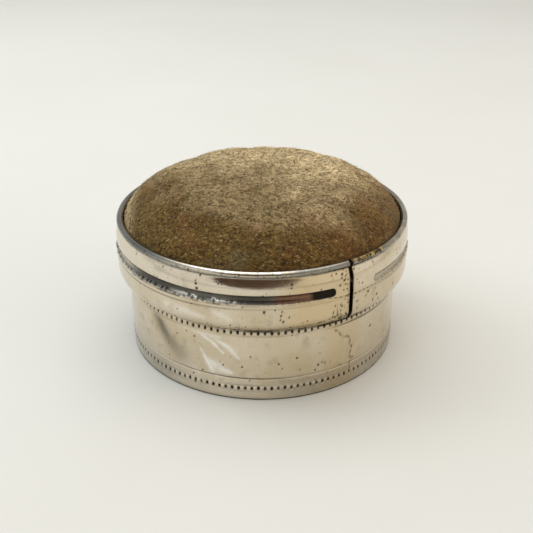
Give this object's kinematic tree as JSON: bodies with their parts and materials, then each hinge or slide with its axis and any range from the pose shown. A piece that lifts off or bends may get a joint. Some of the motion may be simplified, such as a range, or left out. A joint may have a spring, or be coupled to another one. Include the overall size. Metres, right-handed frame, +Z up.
{
  "type": "bobbin box",
  "caption": "Round plated-metal bobbin box: a split, pull-off lid topped by a velvet pincushion grips the neck of the base, in which thread bobbins turn on upright spindles.",
  "frame": {"origin": "on the axis of the box, at the height of its underside", "axes": "+Z up along the axis of the box, +Y from front to back, +X to the right with the open seam of the lid at the front right"},
  "size_m": [0.0578, 0.0578, 0.035],
  "materials": {
    "plated_sheet": "old nickel plate, polished, pitted and tarnished in its beads",
    "tinned_sheet": "dull tinned sheet",
    "brass_wire": "bare drawn wire",
    "spindle_brass": "turned, lightly tarnished",
    "bobbin_steel": "plain bright steel",
    "velvet": "worn short-pile olive-brown velvet",
    "stuffing": "packed wool and bran",
    "card": "plain pasteboard",
    "linen_thread": "waxed linen",
    "thread_cream": "wound cotton",
    "thread_indigo": "wound cotton",
    "thread_madder": "wound cotton",
    "thread_black": "wound cotton"
  },
  "bodies": {
    "base": {"base_wall": "plated_sheet", "base_pan": "tinned_sheet", "spindle_plate": "tinned_sheet", "spindle_1": "spindle_brass", "spindle_2": "spindle_brass", "spindle_3": "spindle_brass", "spindle_4": "spindle_brass"},
    "lid": {"lid_band": "plated_sheet", "rim_wire": "brass_wire", "lid_floor": "tinned_sheet", "cushion_card": "card", "cushion_stuffing": "stuffing", "cushion_cover": "velvet", "gathering_thread": "linen_thread"},
    "bobbin_1": {"bobbin_1_core": "bobbin_steel", "bobbin_1_lower_flange": "bobbin_steel", "bobbin_1_upper_flange": "bobbin_steel", "bobbin_1_thread": "thread_cream"},
    "bobbin_2": {"bobbin_2_core": "bobbin_steel", "bobbin_2_lower_flange": "bobbin_steel", "bobbin_2_upper_flange": "bobbin_steel", "bobbin_2_thread": "thread_indigo"},
    "bobbin_3": {"bobbin_3_core": "bobbin_steel", "bobbin_3_lower_flange": "bobbin_steel", "bobbin_3_upper_flange": "bobbin_steel", "bobbin_3_thread": "thread_madder"},
    "bobbin_4": {"bobbin_4_core": "bobbin_steel", "bobbin_4_lower_flange": "bobbin_steel", "bobbin_4_upper_flange": "bobbin_steel", "bobbin_4_thread": "thread_black"}
  },
  "joints": [
    {"name": "lid_lift", "type": "slide", "parent": "base", "child": "lid", "axis": [0, 0, 1], "range_m": [0, 0.035]},
    {"name": "bobbin_1_spin", "type": "hinge", "parent": "base", "child": "bobbin_1", "pos_m": [0.01055, -0.01055, 0.0073], "axis": [0, 0, 1], "continuous": true},
    {"name": "bobbin_2_spin", "type": "hinge", "parent": "base", "child": "bobbin_2", "pos_m": [0.01055, 0.01055, 0.0073], "axis": [0, 0, 1], "continuous": true},
    {"name": "bobbin_3_spin", "type": "hinge", "parent": "base", "child": "bobbin_3", "pos_m": [-0.01055, 0.01055, 0.0073], "axis": [0, 0, 1], "continuous": true},
    {"name": "bobbin_4_spin", "type": "hinge", "parent": "base", "child": "bobbin_4", "pos_m": [-0.01055, -0.01055, 0.0073], "axis": [0, 0, 1], "continuous": true}
  ]
}
